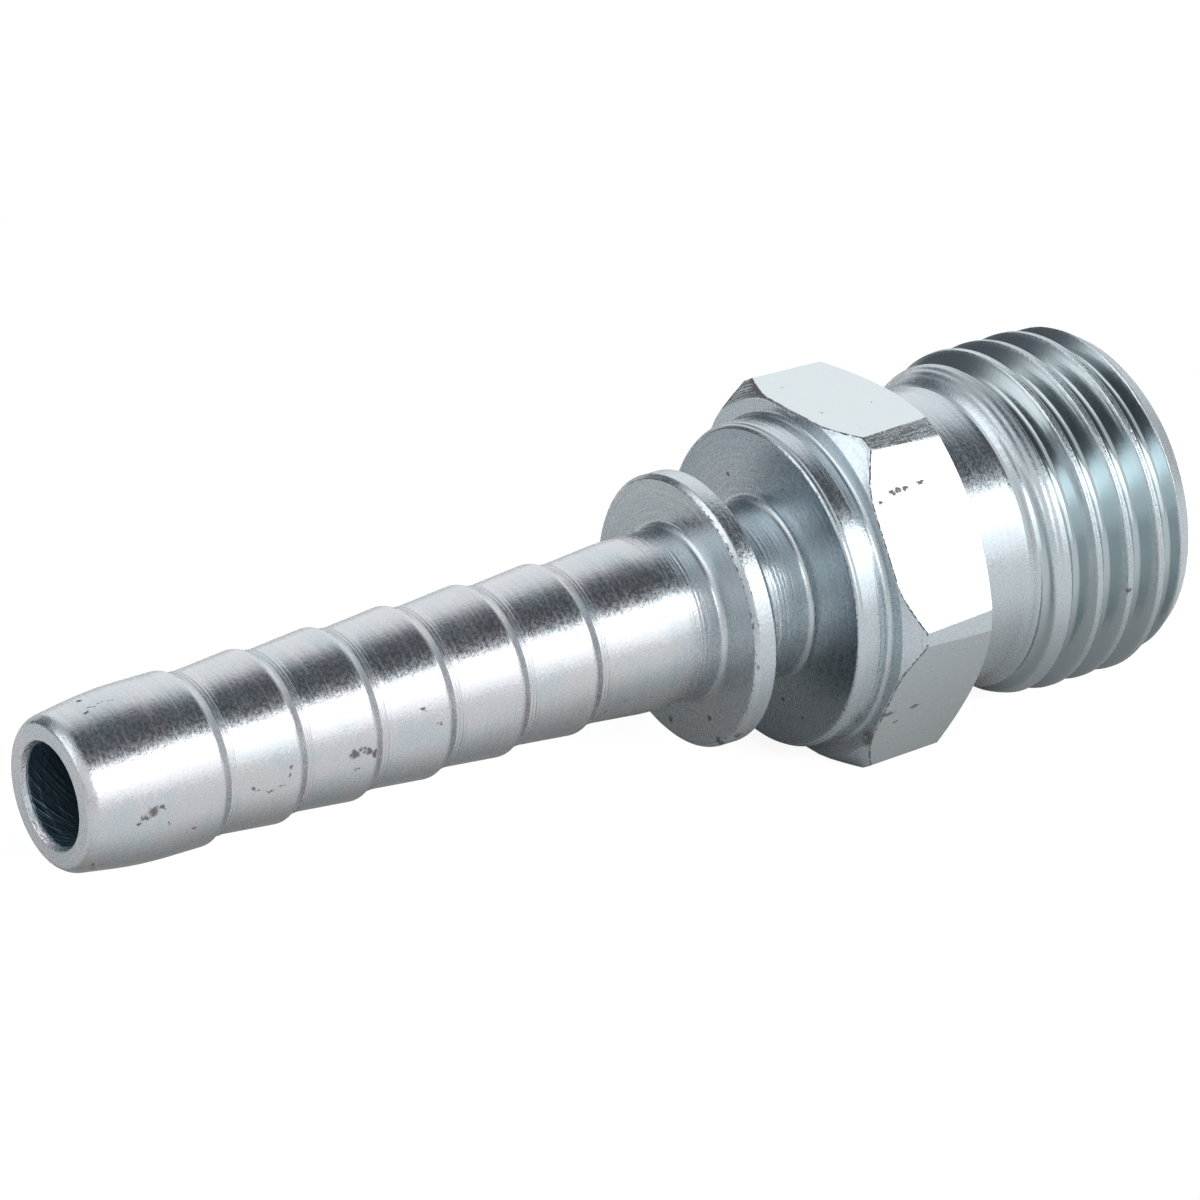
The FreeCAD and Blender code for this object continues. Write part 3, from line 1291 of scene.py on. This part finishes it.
class Shader:
    """A node tree that is written with plain calls."""

    def __init__(self, tree: bpy.types.NodeTree) -> None:
        """Empties the tree."""
        self.tree = tree
        tree.nodes.clear()

    def node(
        self, kind: str, settings: dict[str, Any] | None = None, inputs: Any = None, output: Any = 0
    ) -> Value:
        """Adds a node.

        Args:
            kind: the node's type.
            settings: properties that are set before its sockets.
            inputs: values or links of its sockets, by name or in order.
            output: the output socket that is returned, by name or number.

        Returns:
            The output socket.
        """
        made = self.tree.nodes.new(kind)
        for name, value in (settings or {}).items():
            setattr(made, name, value)
        pairs = enumerate(inputs) if isinstance(inputs, (list, tuple)) else (inputs or {}).items()
        for name, value in pairs:
            if isinstance(value, Value):
                self.tree.links.new(value.socket, made.inputs[name])
            else:
                made.inputs[name].default_value = value
        return Value(self, made.outputs[output]) if len(made.outputs) else Value(self, None)

    def attribute(self, kind: Skin) -> Value:
        """Returns how far a skin covers the surface."""
        return self.node("ShaderNodeAttribute", {"attribute_name": kind.value}, output="Fac")

    def vector(self, x: Any, y: Any, z: Any) -> Value:
        """Joins three values to a vector."""
        return self.node("ShaderNodeCombineXYZ", {}, [x, y, z])

    def split(self, vector: Value) -> tuple[Value, Value, Value]:
        """Returns a vector's three parts."""
        part = self.node("ShaderNodeSeparateXYZ", {}, [vector])
        return part, part.beside(1), part.beside(2)

    def noise(self, vector: Value, scale: float, detail: float = 2.0, roughness: float = 0.5) -> Value:
        """Returns noise from 0 to 1 at a place."""
        inputs = {"Vector": vector, "Scale": scale, "Detail": detail, "Roughness": roughness}
        return self.node("ShaderNodeTexNoise", {}, inputs)

    def vector_math(self, operation: str, *terms: Any, output: Any = 0) -> Value:
        """Adds a Vector Math node."""
        return self.node("ShaderNodeVectorMath", {"operation": operation}, terms, output=output)

    def scaled(self, vector: Value, scale: float) -> Value:
        """Returns a vector times a number."""
        return self.node("ShaderNodeVectorMath", {"operation": "SCALE"}, {"Vector": vector, "Scale": scale})

    def mix_vector(self, share: Any, a: Any, b: Any) -> Value:
        """Mixes two vectors."""
        return self.node("ShaderNodeMix", {"data_type": "VECTOR"}, {0: share, 4: a, 5: b}, output=1)

    def mix_colour(self, share: Any, a: Any, b: Any) -> Value:
        """Mixes two colours."""
        return self.node("ShaderNodeMix", {"data_type": "RGBA"}, {0: share, 6: a, 7: b}, output=2)

    def finish(self, shader: Value, kind: str) -> None:
        """Links the tree's last shader to an output node of a type."""
        self.node(kind, {}, {"Surface": shader})


@dataclass(frozen=True)
class Texture:
    """A noise that is drawn out along or across the axis.

    Attributes:
        along: how fast it changes along the axis, per millimetre.
        across: how fast it changes across the axis.
        detail: how many finer layers it has.
        roughness: how strong the finer layers are.
    """

    along: float
    across: float
    detail: float = 1.0
    roughness: float = 0.6

    def place(self, s: Shader, x: Value, y: Value, z: Value) -> Value:
        """Returns the place in the noise that belongs to a place on the connector."""
        return s.vector(x * self.along, y * self.across, z * self.across)

    def value(self, s: Shader, x: Value, y: Value, z: Value) -> Value:
        """Returns the noise, from 0 to 1, at a place on the connector."""
        return s.noise(self.place(s, x, y, z), 1.0, self.detail, self.roughness)


@dataclass(frozen=True)
class ZincPlate:
    """Bright zinc plating over turned steel.

    Attributes:
        cool: its colour where it leans to blue-green.
        warm: its colour where it leans to mauve.
        drawn: its colour on the paler flats of the drawn bar.
        rolled: its colour in the rolled grooves.
        blue_tint_and_painted_shade: its colour on the collar's face: a real blue tint, darkened further as
            painted shade.
        bore: colour of the drilled bore.
        residue_and_painted_shade: colour of what the pits hold, of stains and worn flecks, and of the painted
            shade in the hexagon's ring grooves.
        roughness: least roughness of the plating.
        haze: how much rougher its dull grains are.
        dull_grains: the part of the grain's range over which the plating turns dull.
        dull_lines: the same for the fine turning marks.
        dull_drawing: the same for the drawing marks.
        dirt_and_painted_shade_roughness: how much rougher dirt, what the pits hold and the painted shade in
            the ring grooves are.
        scuff_roughness: how much rougher scuffs are.
        bore_roughness: how much rougher the bore is.
        rolled_gloss: how much smoother the rolled grooves are.
        dirt_and_painted_shade_dullness: how much less metallic dirt, what the pits hold and the painted shade
            in the ring grooves are.
        smoothed: the share of marks and grain that drawing or rolling takes away.
        flecks: the part of the marks' range over which scuffed metal turns dark.
        fleck_darkness: how dark it turns.
        head_start: where the bluer end of the connector starts along the axis.
        head_blend: distance over which it starts, before and after that place.
        line_lean: how far the turning marks lean on sloping faces, as a share of the radius.
        lines: the fine turning marks.
        line_height: their height, in millimetres.
        waves: the broad turning marks.
        wave_height: their height, in millimetres.
        drawing: the marks that drawing left along the bar.
        drawing_height: their height, in millimetres.
        grain: the plating's grain.
        grain_height: its height, in millimetres.
        scuff_height: height of the scuffs on worn corners, in millimetres.
        bore_radius: radius within which the drilled bore lies.
        bore_scratches: height of the scratches in it, in millimetres.
        bore_scratched: the part of the marks' range over which those scratches rise.
        pit_swirl: how far the pits' outlines stray from ovals, in millimetres.
        pits: the dark hollows.
    """

    cool: tuple[float, float, float, float] = (0.53, 0.595, 0.63, 1)
    warm: tuple[float, float, float, float] = (0.60, 0.61, 0.635, 1)
    drawn: tuple[float, float, float, float] = (0.64, 0.70, 0.72, 1)
    rolled: tuple[float, float, float, float] = (0.45, 0.52, 0.54, 1)
    blue_tint_and_painted_shade: tuple[float, float, float, float] = (0.36, 0.42, 0.47, 1)
    bore: tuple[float, float, float, float] = (0.26, 0.37, 0.44, 1)
    residue_and_painted_shade: tuple[float, float, float, float] = (0.15, 0.145, 0.14, 1)
    roughness: float = 0.21
    haze: float = 0.13
    dull_grains: tuple[float, float] = (0.36, 0.6)
    dull_lines: tuple[float, float] = (0.48, 0.66)
    dull_drawing: tuple[float, float] = (0.45, 0.7)
    dirt_and_painted_shade_roughness: float = 0.3
    scuff_roughness: float = 0.04
    bore_roughness: float = 0.1
    rolled_gloss: float = 0.03
    dirt_and_painted_shade_dullness: float = 0.5
    smoothed: float = 0.75
    flecks: tuple[float, float] = (0.49, 0.54)
    fleck_darkness: float = 0.9
    head_start: float = 28.0
    head_blend: tuple[float, float] = (3.0, 2.0)
    line_lean: float = 1.6
    lines: Texture = Texture(8.5, 0.45)
    line_height: float = 0.009
    waves: Texture = Texture(2.6, 0.2, roughness=0.5)
    wave_height: float = 0.0144
    drawing: Texture = Texture(0.9, 9.0, detail=2.0)
    drawing_height: float = 0.0081
    grain: Texture = Texture(10.0, 6.5, detail=2.0)
    grain_height: float = 0.0075
    scuff_height: float = 0.07
    bore_radius: float = 2.01
    bore_scratches: float = 0.022
    bore_scratched: tuple[float, float] = (0.45, 0.8)
    pit_swirl: float = 0.35
    pits: tuple[Pit, ...] = TAIL_PITS + BARB_PITS + HEAD_PITS

    def make(self, tail_end: float, axis_height: float) -> bpy.types.Material:
        """Makes the material.

        Args:
            tail_end: X of the tail's end face, in metres.
            axis_height: height of the axis, in metres.

        Returns:
            The material, which is made for the connector's own place.
        """
        material = bpy.data.materials.new(SLOT)
        material.use_nodes = True
        s = Shader(material.node_tree)
        here = s.node("ShaderNodeTexCoord", {}, {}, output="Object")
        place = s.scaled(s.vector_math("SUBTRACT", here, (tail_end, 0, axis_height)), 1 / MM)
        x, y, z = s.split(place)
        radius = (y * y + z * z).root()
        drawn, rolled, stains_and_painted_shade, scuffed, blue_tint_and_painted_shade = (s.attribute(kind) for kind in Skin)
        bored = 1 - radius.ramp(self.bore_radius, self.bore_radius + 0.03)
        turned = (1 - drawn) * (1 - self.smoothed * rolled)
        plain = 1 - self.smoothed * rolled.most(drawn)

        run = x - self.line_lean * radius
        fine = self.lines.value(s, run, y, z)
        grain = self.grain.value(s, x, y, z)
        scratched = self.scratches(s, x, y, z, bored)
        lines = (fine * self.line_height + self.waves.value(s, run, y, z) * self.wave_height) * turned
        drawing = scratched * drawn * self.drawing_height
        marks = drawing + scratched.ramp(*self.bore_scratched) * bored * self.bore_scratches
        height = lines + marks + grain * (plain * self.grain_height + scuffed * scuffed * self.scuff_height)

        # Stains and the painted shade in the hexagon's ring grooves, broken up by the grain.
        edges = (stains_and_painted_shade + 0.8 * grain - 0.8).ramp(0.0, 0.15)
        battered = scuffed.ramp(0.7, 0.9)
        flecks = battered * (scratched * 0.6 + grain * 0.4).ramp(*self.flecks) * self.fleck_darkness
        # Dark marks: pits, stains, worn flecks, and the painted shade in the hexagon's ring grooves.
        dirt_and_painted_shade = self.pitted(s, place).most(edges).most(flecks)
        tint = self.tint(s, place, x)
        # The collar face's blue tint is darkened further here as painted shade.
        coats = ((drawn, self.drawn), (rolled, self.rolled), (blue_tint_and_painted_shade, self.blue_tint_and_painted_shade), (bored, self.bore))
        for share, colour in coats:
            tint = s.mix_colour(share, tint, colour)

        streaked = fine.ramp(*self.dull_lines) * turned + scratched.ramp(*self.dull_drawing) * drawn
        hazy = grain.ramp(*self.dull_grains) * plain * 0.7 + streaked * 0.4
        worn = self.dirt_and_painted_shade_roughness * dirt_and_painted_shade + self.scuff_roughness * scuffed
        worn = worn + self.bore_roughness * bored - self.rolled_gloss * rolled
        steel = s.node("ShaderNodeBsdfPrincipled", {}, {
            "Base Color": s.mix_colour(dirt_and_painted_shade, tint, self.residue_and_painted_shade),
            "Metallic": 1 - self.dirt_and_painted_shade_dullness * dirt_and_painted_shade,
            "Roughness": self.roughness + self.haze * hazy + worn,
            "Normal": s.node("ShaderNodeBump", {}, {"Strength": 1.0, "Distance": MM, "Height": height}),
        })
        s.finish(steel, "ShaderNodeOutputMaterial")
        return material

    def scratches(self, s: Shader, x: Value, y: Value, z: Value, bored: Value) -> Value:
        """Makes the drawing marks along the bar, and in the bore the drill's winding scratches.

        Args:
            s: the material's tree.
            x: the place along the axis, in millimetres.
            y: the place to the side.
            z: the place above the axis.
            bored: where the bore lies.

        Returns:
            The marks, from 0 to 1.
        """
        turn = s.node("ShaderNodeMath", {"operation": "ARCTAN2"}, [z, y])
        winding = s.vector(x * 5.0 + turn * 7.0, x * 0.5, 0.0)
        place = s.mix_vector(bored, self.drawing.place(s, x, y, z), winding)
        return s.noise(place, 1.0, self.drawing.detail, self.drawing.roughness)

    def tint(self, s: Shader, place: Value, x: Value) -> Value:
        """Makes the plating's own colour, which changes softly from place to place.

        Args:
            s: the material's tree.
            place: the place on the connector, in millimetres.
            x: its part along the axis.

        Returns:
            The colour.
        """
        before, after = self.head_blend
        head = x.ramp(self.head_start - before, self.head_start + after)
        cloud = (s.noise(place, 0.55).ramp(0.35, 0.65) + 0.3) * (1 - 0.9 * head)
        return s.mix_colour(cloud, self.cool, self.warm)

    def pitted(self, s: Shader, place: Value) -> Value:
        """Marks the dark hollows.

        Args:
            s: the material's tree.
            place: the place on the connector, in millimetres.

        Returns:
            1 inside them and 0 outside.
        """
        inputs = {"Vector": place, "Scale": 5.0, "Detail": 1.5}
        swirl = s.node("ShaderNodeTexNoise", {}, inputs, output="Color")
        shift = s.scaled(s.vector_math("SUBTRACT", swirl, (0.5, 0.5, 0.5)), self.pit_swirl)
        place = s.vector_math("ADD", place, shift)
        nearest: Any = 9.0
        for pit in self.pits:
            away = s.vector_math("MULTIPLY", s.vector_math("SUBTRACT", place, pit.centre), pit.shrink)
            nearest = s.vector_math("LENGTH", away, output="Value").least(nearest)
        return 1 - nearest.ramp(0.7, 1.6)


def grey(value: float) -> tuple[float, float, float, float]:
    """Returns a colour without hue."""
    return value, value, value, 1


def toward(azimuth: float, elevation: float) -> Vector:
    """Returns a direction, by its angle from +X towards +Y and its angle above the floor, in degrees."""
    a, e = math.radians(azimuth), math.radians(elevation)
    return Vector((math.cos(a) * math.cos(e), math.sin(a) * math.cos(e), math.sin(e)))


@dataclass(frozen=True)
class Screen:
    """A soft-edged pale or dark screen in the room round the connector.

    Attributes:
        azimuth: the angle of its middle round the connector, from +X towards +Y.
        elevation: the angle of its middle above the floor.
        full: angle from its middle up to which it has its whole brightness.
        gone: angle at which it ends.
        brightness: its brightness, where 1 shows white.
    """

    azimuth: float
    elevation: float
    full: float
    gone: float
    brightness: float


@dataclass(frozen=True)
class Softbox:
    """A soft lamp.

    Attributes:
        name: the lamp's name.
        azimuth: the angle of its middle round the connector, from +X towards +Y.
        elevation: the angle of its middle above the floor.
        across: its width as an angle seen from the connector.
        upright: its height as an angle.
        brightness: its brightness, where 1 shows white.
        distance: how far away it stands, in metres.
        floor_only: whether it lights nothing but the floor, and no metal shows it.
    """

    name: str
    azimuth: float
    elevation: float
    across: float
    upright: float
    brightness: float
    distance: float = 1.0
    floor_only: bool = False

    def build(self, floor: bpy.types.Object) -> bpy.types.Object:
        """Makes the lamp, facing the connector.

        Args:
            floor: the floor, for the lamp that lights nothing else.

        Returns:
            The lamp.
        """
        data = bpy.data.lights.new(self.name, "AREA")
        data.shape = "RECTANGLE"
        data.size = 2 * self.distance * math.tan(math.radians(self.across / 2))
        data.size_y = 2 * self.distance * math.tan(math.radians(self.upright / 2))
        data.energy = self.brightness * math.pi * data.size * data.size_y
        lamp = bpy.data.objects.new(self.name, data)
        away = toward(self.azimuth, self.elevation)
        lamp.location = away * self.distance
        lamp.rotation_euler = (-away).to_track_quat("-Z", "Y").to_euler()
        bpy.context.scene.collection.objects.link(lamp)
        if self.floor_only:
            lit = bpy.data.collections.new(self.name)
            lit.objects.link(floor)
            lamp.light_linking.receiver_collection = lit
            lamp.visible_glossy = False
        return lamp


@dataclass(frozen=True)
class Studio:
    """A pale floor, the soft light around it and the camera.

    Attributes:
        target: the point that the camera looks at, in metres.
        distance: the camera's distance from it, in metres.
        azimuth: the camera's angle round the connector.
        elevation: its angle above the floor.
        roll: its turn about its own line of sight.
        lens: focal length in millimetres.
        floor_size: length of the floor's sides, in metres.
        paper: radius of the white paper on the floor, in metres.
        paper_end: radius at which it has turned to the table's grey.
        paper_grey: how pale the paper is to the metal above it.
        table_grey: how pale the table is.
        painted_shade_grey: how pale the paper is close under the connector, where shade is painted on it for
            the metal to mirror.
        seen_grey: how pale the paper is to the camera, apart from its glow.
        glow: how much of the paper's white the camera sees even in the shade.
        mirrored_glow: how much of it the metal mirrors.
        table_dimming: how much less of it the table has.
        tail_shade: how far from its axis the painted shade under the tail reaches on the paper.
        head_shade: how far it reaches under the thicker end.
        widening: where the one passes into the other, as X in metres.
        ends: the distance from the middle over which that shade ends.
        near_side: how much narrower it is on the camera's side.
        shade_width: how far from its axis the paper shows a shadow.
        shade_length: how far from its middle the paper shows one along the axis.
        walls: brightness of the walls between the screens.
        dark_tint: colour of the dark screens.
        pale_tint: colour of the pale ones and of the walls.
        screens: the pale and dark screens.
        lamps: the lamps.
    """

    target: tuple[float, float, float] = (0.00045, -0.00006, 0.00846)
    distance: float = 0.313
    azimuth: float = -34.07
    elevation: float = 24.21
    roll: float = -0.79
    lens: float = 245.0
    floor_size: float = 4.0
    paper: float = 0.07
    paper_end: float = 0.16
    paper_grey: float = 0.32
    table_grey: float = 0.2
    painted_shade_grey: float = 0.105
    seen_grey: float = 0.1
    glow: float = 0.9
    mirrored_glow: float = 0.04
    table_dimming: float = 0.4
    tail_shade: float = 0.011
    head_shade: float = 0.020
    widening: tuple[float, float] = (-0.008, 0.006)
    ends: tuple[float, float] = (0.024, 0.034)
    near_side: float = 1.15
    shade_width: float = 0.034
    shade_length: float = 0.046
    walls: float = 0.62
    dark_tint: tuple[float, float, float, float] = (0.9, 0.98, 1.12, 1)
    pale_tint: tuple[float, float, float, float] = (0.985, 1.0, 1.01, 1)
    screens: tuple[Screen, ...] = (
        Screen(50, 22, 18, 42, 1.12),
        Screen(110, 10, 18, 38, 0.14),
        Screen(84, 2, 5, 15, 0.9),
        Screen(165, 38, 12, 32, 1.75),
        Screen(-125, 28, 10, 35, 0.95),
        Screen(-40, 65, 14, 44, 0.07),
        Screen(20, 82, 8, 22, 0.1),
    )
    lamps: tuple[Softbox, ...] = (
        Softbox("key_softbox", -66, 33.5, 62, 20.0, 2.8),
        Softbox("key_lower_part", -66, 21.2, 62, 4.6, 1.25),
        Softbox("key_lower_edge", -66, 16.2, 62, 5.4, 0.98),
        Softbox("key_rim", -66, 10.5, 62, 6.0, 0.88),
        Softbox("key_foot", -66, 4.0, 62, 7.0, 0.85),
        Softbox("floor_light", -66, 23.7, 62, 39.5, 20.0, floor_only=True),
    )

    def camera(self) -> bpy.types.Object:
        """Makes the camera at the picture's viewing angle.

        Returns:
            The camera, which is the scene's own.
        """
        a, e = math.radians(self.azimuth), math.radians(self.elevation)
        back = Vector((math.sin(a) * math.cos(e), -math.cos(a) * math.cos(e), math.sin(e)))
        data = bpy.data.cameras.new("camera")
        data.lens = self.lens
        data.sensor_width = 36.0
        data.clip_start, data.clip_end = 0.01, 50.0
        camera = bpy.data.objects.new("camera", data)
        camera.location = Vector(self.target) + back * self.distance
        turn = (-back).to_track_quat("-Z", "Y").to_matrix() @ Matrix.Rotation(math.radians(self.roll), 3, "Z")
        camera.rotation_euler = turn.to_euler()
        bpy.context.scene.collection.objects.link(camera)
        bpy.context.scene.camera = camera
        return camera

    def floor(self) -> bpy.types.Object:
        """Makes the floor: white paper round the connector, which keeps its shadow, on a grey table; close
        under the connector the paper also carries painted shade that the metal mirrors.

        Returns:
            The floor, which isn't part of the connector.
        """
        half = self.floor_size / 2
        mesh = bpy.data.meshes.new("floor")
        corners = [(-half, -half, 0), (half, -half, 0), (half, half, 0), (-half, half, 0)]
        mesh.from_pydata(corners, [], [(0, 1, 2, 3)])
        mesh.materials.append(self.floor_material())
        floor = bpy.data.objects.new("floor", mesh)
        bpy.context.scene.collection.objects.link(floor)
        return floor

    def floor_material(self) -> bpy.types.Material:
        """Makes the floor's material.

        Returns:
            Paper that glows white to the camera and is darker in the connector's shadow, and the table round
            it.
            To the metal the paper is also darker close under the connector, where shade is painted on it.
        """
        material = bpy.data.materials.new("floor")
        material.use_nodes = True
        s = Shader(material.node_tree)
        place = s.node("ShaderNodeTexCoord", {}, {}, output="Object")
        x, y, _ = s.split(place)
        away = s.vector_math("LENGTH", place, output="Value")
        seen = s.node("ShaderNodeLightPath", {}, {}, output="Is Camera Ray")
        mirrored = seen.beside("Is Glossy Ray").most(seen.beside("Is Transmission Ray"))
        table = away.ramp(self.paper, self.paper_end)

        # Painted shade: close under the connector the paper's colour darkens for all rays but the camera's,
        # standing in for soft light that doesn't reach there.
        reach = self.tail_shade + (self.head_shade - self.tail_shade) * x.ramp(*self.widening)
        between_ends = 1 - abs(x).ramp(*self.ends)
        under = (1 - (y.most(y * -self.near_side) / reach).ramp(0.0, 1.0)) * between_ends
        colour = s.mix_colour(table, grey(self.paper_grey), grey(self.table_grey))
        colour = s.mix_colour(under, colour, grey(self.painted_shade_grey))
        colour = s.mix_colour(seen, colour, grey(self.seen_grey))
        strength = (seen * self.glow + mirrored * self.mirrored_glow) * (1 - self.table_dimming * table)
        shaded = s.node("ShaderNodeAddShader", {}, [
            s.node("ShaderNodeEmission", {}, {"Color": grey(1), "Strength": strength}),
            s.node("ShaderNodeBsdfDiffuse", {}, {"Color": colour}),
        ])

        fade = 0.004  # metres over which the shaded part ends
        beside = abs(y).ramp(self.shade_width - fade, self.shade_width)
        past_ends = abs(x).ramp(self.shade_length - fade, self.shade_length)
        on_paper = 1 - away.ramp(self.paper - fade / 2, self.paper)
        bare = s.node("ShaderNodeEmission", {}, {"Color": grey(1), "Strength": 1.0})
        shown = s.node("ShaderNodeMixShader", {}, [beside.most(past_ends) * on_paper * seen, shaded, bare])
        s.finish(shown, "ShaderNodeOutputMaterial")
        return material

    def world(self) -> None:
        """Makes the room: mid-grey walls with pale and dark screens."""
        world = bpy.data.worlds.new("studio")
        world.use_nodes = True
        bpy.context.scene.world = world
        s = Shader(world.node_tree)
        direction = s.node("ShaderNodeTexCoord", {}, {}, output="Generated")
        light = self.walls
        for screen in self.screens:
            middle = toward(screen.azimuth, screen.elevation)
            nearness = s.vector_math("DOT_PRODUCT", direction, tuple(middle), output="Value")
            ends = math.cos(math.radians(screen.gone)), math.cos(math.radians(screen.full))
            light = light + nearness.ramp(*ends) * (screen.brightness - light)
        tint = s.mix_colour(light.ramp(0.1, 0.7), self.dark_tint, self.pale_tint)
        background = s.node("ShaderNodeBackground", {}, {"Color": tint, "Strength": light})
        s.finish(background, "ShaderNodeOutputWorld")

    def build(self) -> None:
        """Builds floor, light and camera."""
        floor = self.floor()
        self.world()
        for lamp in self.lamps:
            lamp.build(floor)
        self.camera()
        bpy.context.scene.view_settings.view_transform = "Standard"


def main() -> None:
    """Builds the connector and its studio, and reports each piece."""
    logging.basicConfig(level=logging.INFO, format="%(name)s: %(message)s")
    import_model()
    low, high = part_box(NODE)
    axis_height = (low.z + high.z) / 2
    body = ConnectorBody().build(low.x, axis_height)
    body.data.materials.append(ZincPlate().make(low.x, axis_height))
    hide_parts(NODE)
    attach(body, "root")
    triangles = sum(len(p.vertices) - 2 for p in body.data.polygons)
    log.info("%s: %d points, %d triangles", body.name, len(body.data.vertices), triangles)
    studio = Studio()
    studio.build()
    log.info("studio: %d lamps, %d screens", len(studio.lamps), len(studio.screens))


if __name__ == "__main__":
    main()
